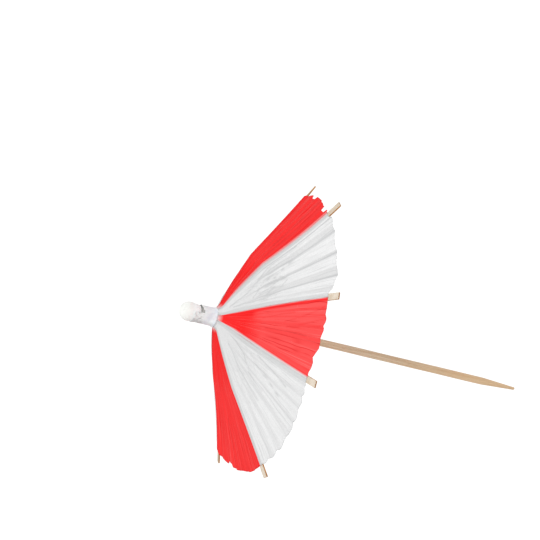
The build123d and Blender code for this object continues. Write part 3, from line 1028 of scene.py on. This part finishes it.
bead_profile = [(1.15 * mm, bead_low.z + 0.05 * mm), (1.6 * mm, bead_low.z + 0.02 * mm)]
for k in range(1, bead_rows):
    height = bead_low.z + (bead_high.z - bead_low.z) * math.sin(0.5 * math.pi * k / bead_rows)
    bead_profile.append((bead_reach(height), height))
clay, tree, shader = new_material("white clay", 0.8, 0.25)
place = own_place(tree)
dust, smear = cloud(place, 1500.0, 5.0), cloud(place, 420.0, 2.0)
chalk = blend(ease(smear, 0.35, 0.65), screen(251, 252, 248), screen(243, 244, 240))
chalk = tint(chalk, ease(dust, 0.55, 0.75), 0.5, screen(216, 217, 213))
# painted light: the clay is drawn whiter and cooler toward its lower end, next to the canopy
lower_end_light = ease(split(place)["Z"], light_fade_low, light_fade_high)
chalk = blend(lower_end_light, screen(250, 255, 255), chalk)
set_surface(shader, chalk, dust, 0.5, 0.06 * mm)
ball = turned("finial_bead_clay", bead_profile, bead_sectors, False, bead_point)
add_piece(ball, clay, "root", "bead_white", "finial_bead")

# Stage: a white floor under the pick's point, an even white sky and two large soft lamps.
sky_level = 0.53
floor_white, floor_glow, floor_shadow = (0.95, 0.95, 0.95, 1), 1.14, 0.1
floor_half = 4.0
pure_white = (1, 1, 1, 1)
scene = bpy.context.scene
scene.view_settings.view_transform = "Standard"


def seen_directly(tree):
    """1 for rays from the camera, from gloss and through glass."""
    path = add_node(tree, "ShaderNodeLightPath").outputs
    mirrored = calc("MAXIMUM", path["Is Glossy Ray"], path["Is Transmission Ray"])
    return calc("MAXIMUM", path["Is Camera Ray"], mirrored)


scene.world = bpy.data.worlds.new("white sky")
scene.world.use_nodes = True
tree = scene.world.node_tree
lighting = tree.nodes["Background"]
lighting.inputs["Color"].default_value = pure_white
lighting.inputs["Strength"].default_value = sky_level
seen = add_node(tree, "ShaderNodeBackground", {"Color": pure_white, "Strength": 1.0})
both = {0: seen_directly(tree), 1: lighting, 2: seen}
sky = add_node(tree, "ShaderNodeMixShader", both)
tree.links.new(sky.outputs[0], tree.nodes["World Output"].inputs["Surface"])

floor_mesh = bpy.data.meshes.new("floor")
corners = [(x * floor_half, y * floor_half, pick_low.z) for x, y in ((-1, -1), (1, -1), (1, 1), (-1, 1))]
floor_mesh.from_pydata(corners, [], [(0, 1, 2, 3)])
floor = bpy.data.objects.new("floor", floor_mesh)
scene.collection.objects.link(floor)
floor_paint, tree, shader = new_material("white floor", 1.0, 0.0)
shader.inputs["Base Color"].default_value = floor_white
glow = add_node(tree, "ShaderNodeEmission", {"Color": pure_white, "Strength": floor_glow})
share = times(seen_directly(tree), 1 - floor_shadow)
top = add_node(tree, "ShaderNodeMixShader", {0: share, 1: shader, 2: glow})
clear = add_node(tree, "ShaderNodeBsdfTransparent")
back = add_node(tree, "ShaderNodeNewGeometry").outputs["Backfacing"]
sides = add_node(tree, "ShaderNodeMixShader", {0: back, 1: top, 2: clear})
tree.links.new(sides.outputs[0], tree.nodes["Material Output"].inputs["Surface"])
floor_mesh.materials.append(floor_paint)

lamp_aim = Vector((0, 0, 70 * mm))
for name, toward, distance, size, power in (
    ("main lamp", (0.25, -0.5, 0.83), 1.2, 0.6, 6.9),
    ("side lamp", (-0.8, -0.1, 0.6), 1.4, 0.8, 3.2),
):
    lamp = bpy.data.lights.new(name, "AREA")
    lamp.size = size
    lamp.energy = power
    holder = bpy.data.objects.new(name, lamp)
    scene.collection.objects.link(holder)
    holder.location = lamp_aim + Vector(toward).normalized() * distance
    holder.rotation_euler = (lamp_aim - holder.location).to_track_quat("-Z", "Y").to_euler()

# Camera: level with the front of the canopy and a little above it, rolled so that the pick lies to the right.
view_azimuth = math.radians(0.02)
view_elevation = math.radians(18.98)
view_roll = math.radians(-76.30)
view_distance = 1066.6 * mm
view_aim = (-58.45 * mm, 30.65 * mm)
view_angle = math.radians(8)
sensor_width = 36.0
back = around(math.cos(view_elevation), view_azimuth - math.pi / 2, math.sin(view_elevation))
level_right = Vector((0, 0, 1)).cross(back).normalized()
level_up = back.cross(level_right)
right = level_right * math.cos(view_roll) + level_up * math.sin(view_roll)
up = level_up * math.cos(view_roll) - level_right * math.sin(view_roll)
camera = bpy.data.objects.new("camera", bpy.data.cameras.new("camera"))
scene.collection.objects.link(camera)
camera.data.sensor_width = sensor_width
camera.data.lens = sensor_width / 2 / math.tan(view_angle / 2)
camera.data.clip_start, camera.data.clip_end = 0.05, 50.0
turn = Matrix((right, up, back)).transposed().to_4x4()
camera.matrix_world = Matrix.Translation(right * view_aim[0] + up * view_aim[1] + back * view_distance) @ turn
scene.camera = camera
